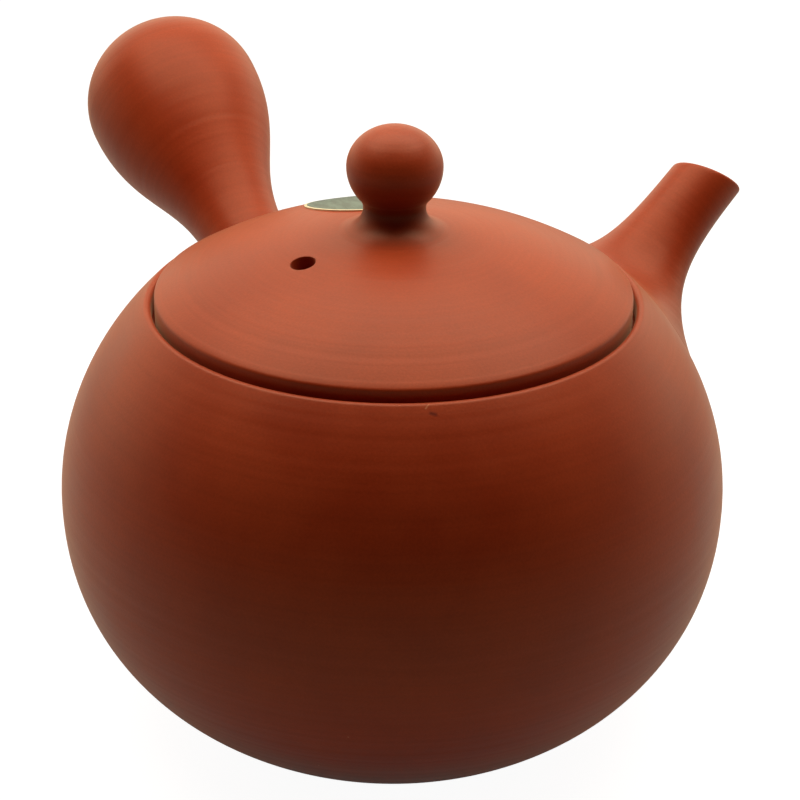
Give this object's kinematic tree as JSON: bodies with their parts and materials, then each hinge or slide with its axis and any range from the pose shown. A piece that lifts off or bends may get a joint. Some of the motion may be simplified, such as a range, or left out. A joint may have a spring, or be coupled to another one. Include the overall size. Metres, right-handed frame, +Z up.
{
  "type": "side-handled teapot",
  "caption": "Side-handled clay teapot: round thrown body, short spout, hollow bulb handle, domed lid with a ball knob, and a sprung mesh strainer belt inside.",
  "frame": {"origin": "centre of the flat base, on the table", "axes": "+Z up along the pot's throwing axis, +X along the spout; the handle stands 80 degrees round from the spout, towards +Y"},
  "size_m": [0.1247, 0.1531, 0.0948],
  "materials": {
    "red_clay": "unglazed, burnished satin",
    "paper_label": "coated paper",
    "strainer_steel": "woven and drawn wire"
  },
  "bodies": {
    "pot": {"pot_body": "red_clay", "spout": "red_clay", "handle": "red_clay", "strainer_mesh": "strainer_steel", "strainer_upper_hem": "strainer_steel", "strainer_lower_hem": "strainer_steel", "strainer_clasp": "strainer_steel", "strainer_rivets": "strainer_steel"},
    "lid": {"lid": "red_clay", "lid_knob": "red_clay", "lid_label": "paper_label"}
  },
  "joints": [
    {"name": "lid_lift", "type": "slide", "parent": "pot", "child": "lid", "axis": [0, 0, 1], "range_m": [0, 0.06]}
  ]
}
